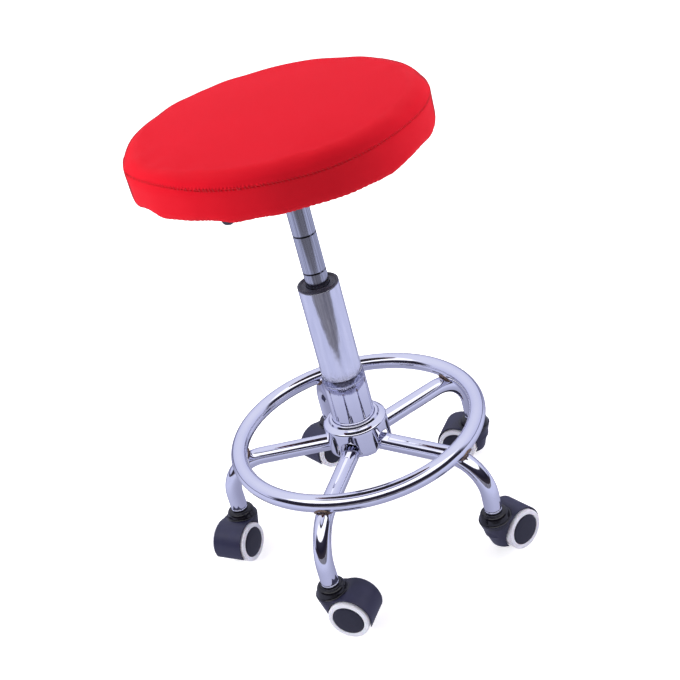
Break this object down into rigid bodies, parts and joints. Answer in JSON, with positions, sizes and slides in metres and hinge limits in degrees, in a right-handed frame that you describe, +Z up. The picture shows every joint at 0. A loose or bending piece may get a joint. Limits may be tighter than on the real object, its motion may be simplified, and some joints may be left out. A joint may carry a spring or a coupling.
{
  "type": "rolling stylist stool",
  "caption": "Round red padded stool on a swivelling gas lift with a release lever, chrome tube legs with a foot ring, and twin-wheel casters.",
  "frame": {"origin": "on the floor, on the axis of the gas lift, which is the middle of the footprint at rest", "axes": "+Z up along the lift axis; +X along the first leg"},
  "size_m": [0.3927, 0.391, 0.5707],
  "materials": {
    "chrome": "bright chrome plate on steel tube",
    "brushed_tube": "ground steel with fine length-wise lines",
    "zinc_steel": "zinc-plated steel, dull",
    "black_steel": "black powder coat, fine texture",
    "black_plastic": "moulded black plastic, semi-gloss",
    "tyre_grey": "pale grey soft tread",
    "red_cover": "red stretch cover, fine weave, low sheen",
    "foam": "cream seat foam",
    "plywood": "plywood, raw edge"
  },
  "bodies": {
    "base": {"hub_socket_tube": "chrome", "hub_cover": "chrome", "foot_ring": "chrome", "column_tube": "chrome", "guide_bushing": "black_plastic", "thrust_bearing": "zinc_steel", "leg_1": "chrome", "leg_2": "chrome", "leg_3": "chrome", "leg_4": "chrome", "leg_5": "chrome"},
    "lift_rod": {"piston_rod": "chrome", "retaining_clip": "zinc_steel"},
    "seat": {"pressure_tube": "brushed_tube", "mount_plate": "black_steel", "seat_board": "plywood", "seat_foam": "foam", "seat_cover": "red_cover", "plate_bolt_1": "zinc_steel", "plate_bolt_2": "zinc_steel", "plate_bolt_3": "zinc_steel", "plate_bolt_4": "zinc_steel"},
    "lever": {"lever_rod": "zinc_steel", "lever_knob": "black_plastic"},
    "valve_button": {"release_button": "zinc_steel"},
    "caster_1": {"caster_1_hood": "black_plastic", "caster_1_stem": "zinc_steel", "caster_1_axle": "zinc_steel"},
    "caster_1_left_wheel": {"caster_1_wheel_left": "black_plastic", "caster_1_tyre_left": "tyre_grey"},
    "caster_1_right_wheel": {"caster_1_wheel_right": "black_plastic", "caster_1_tyre_right": "tyre_grey"},
    "caster_2": {"caster_2_hood": "black_plastic", "caster_2_stem": "zinc_steel", "caster_2_axle": "zinc_steel"},
    "caster_2_left_wheel": {"caster_2_wheel_left": "black_plastic", "caster_2_tyre_left": "tyre_grey"},
    "caster_2_right_wheel": {"caster_2_wheel_right": "black_plastic", "caster_2_tyre_right": "tyre_grey"},
    "caster_3": {"caster_3_hood": "black_plastic", "caster_3_stem": "zinc_steel", "caster_3_axle": "zinc_steel"},
    "caster_3_left_wheel": {"caster_3_wheel_left": "black_plastic", "caster_3_tyre_left": "tyre_grey"},
    "caster_3_right_wheel": {"caster_3_wheel_right": "black_plastic", "caster_3_tyre_right": "tyre_grey"},
    "caster_4": {"caster_4_hood": "black_plastic", "caster_4_stem": "zinc_steel", "caster_4_axle": "zinc_steel"},
    "caster_4_left_wheel": {"caster_4_wheel_left": "black_plastic", "caster_4_tyre_left": "tyre_grey"},
    "caster_4_right_wheel": {"caster_4_wheel_right": "black_plastic", "caster_4_tyre_right": "tyre_grey"},
    "caster_5": {"caster_5_hood": "black_plastic", "caster_5_stem": "zinc_steel", "caster_5_axle": "zinc_steel"},
    "caster_5_left_wheel": {"caster_5_wheel_left": "black_plastic", "caster_5_tyre_left": "tyre_grey"},
    "caster_5_right_wheel": {"caster_5_wheel_right": "black_plastic", "caster_5_tyre_right": "tyre_grey"}
  },
  "joints": [
    {"name": "seat_swivel", "type": "hinge", "parent": "base", "child": "lift_rod", "pos_m": [0, 0, 0.12], "axis": [0, 0, 1], "continuous": true},
    {"name": "seat_height", "type": "slide", "parent": "lift_rod", "child": "seat", "axis": [0, 0, 1], "range_m": [-0.12, 0]},
    {"name": "lever_lift", "type": "hinge", "parent": "seat", "child": "lever", "pos_m": [-0.02013, -0.00888, 0.513], "axis": [-0.4035, 0.915, 0], "range_deg": [0, 5], "stiffness_Nm_per_rad": 0.6, "springref_deg": -5.73},
    {"name": "valve_press", "type": "slide", "parent": "seat", "child": "valve_button", "axis": [0, 0, 1], "range_m": [-0.002, 0]},
    {"name": "caster_1_swivel", "type": "hinge", "parent": "base", "child": "caster_1", "pos_m": [0.176, 0, 0.06], "axis": [0, 0, 1], "continuous": true},
    {"name": "caster_1_left_roll", "type": "hinge", "parent": "caster_1", "child": "caster_1_left_wheel", "pos_m": [0.16392, 0.01934, 0.025], "axis": [-0.848, -0.5299, 0], "continuous": true},
    {"name": "caster_1_right_roll", "type": "hinge", "parent": "caster_1", "child": "caster_1_right_wheel", "pos_m": [0.16392, 0.01934, 0.025], "axis": [-0.848, -0.5299, 0], "continuous": true},
    {"name": "caster_2_swivel", "type": "hinge", "parent": "base", "child": "caster_2", "pos_m": [0.05893, 0.17114, 0.06], "axis": [0, 0, 1], "continuous": true},
    {"name": "caster_2_left_roll", "type": "hinge", "parent": "caster_2", "child": "caster_2_left_wheel", "pos_m": [0.03618, 0.16955, 0.025], "axis": [0.0698, -0.9976, 0], "continuous": true},
    {"name": "caster_2_right_roll", "type": "hinge", "parent": "caster_2", "child": "caster_2_right_wheel", "pos_m": [0.03618, 0.16955, 0.025], "axis": [0.0698, -0.9976, 0], "continuous": true},
    {"name": "caster_3_swivel", "type": "hinge", "parent": "base", "child": "caster_3", "pos_m": [-0.1419, 0.1031, 0.06], "axis": [0, 0, 1], "continuous": true},
    {"name": "caster_3_left_roll", "type": "hinge", "parent": "caster_3", "child": "caster_3_left_wheel", "pos_m": [-0.16218, 0.09268, 0.025], "axis": [0.4571, -0.8894, 0], "continuous": true},
    {"name": "caster_3_right_roll", "type": "hinge", "parent": "caster_3", "child": "caster_3_right_wheel", "pos_m": [-0.16218, 0.09268, 0.025], "axis": [0.4571, -0.8894, 0], "continuous": true},
    {"name": "caster_4_swivel", "type": "hinge", "parent": "base", "child": "caster_4", "pos_m": [-0.15254, -0.11495, 0.06], "axis": [0, 0, 1], "continuous": true},
    {"name": "caster_4_left_roll", "type": "hinge", "parent": "caster_4", "child": "caster_4_left_wheel", "pos_m": [-0.14006, -0.13403, 0.025], "axis": [0.8368, 0.5476, 0], "continuous": true},
    {"name": "caster_4_right_roll", "type": "hinge", "parent": "caster_4", "child": "caster_4_right_wheel", "pos_m": [-0.14006, -0.13403, 0.025], "axis": [0.8368, 0.5476, 0], "continuous": true},
    {"name": "caster_5_swivel", "type": "hinge", "parent": "base", "child": "caster_5", "pos_m": [0.05568, -0.17138, 0.06], "axis": [0, 0, 1], "continuous": true},
    {"name": "caster_5_left_roll", "type": "hinge", "parent": "caster_5", "child": "caster_5_left_wheel", "pos_m": [0.07845, -0.17019, 0.025], "axis": [-0.0523, 0.9986, 0], "continuous": true},
    {"name": "caster_5_right_roll", "type": "hinge", "parent": "caster_5", "child": "caster_5_right_wheel", "pos_m": [0.07845, -0.17019, 0.025], "axis": [-0.0523, 0.9986, 0], "continuous": true}
  ],
  "couplings": [
    {"joint": "valve_press", "follows": "lever_lift", "m_per_rad": -0.022}
  ]
}
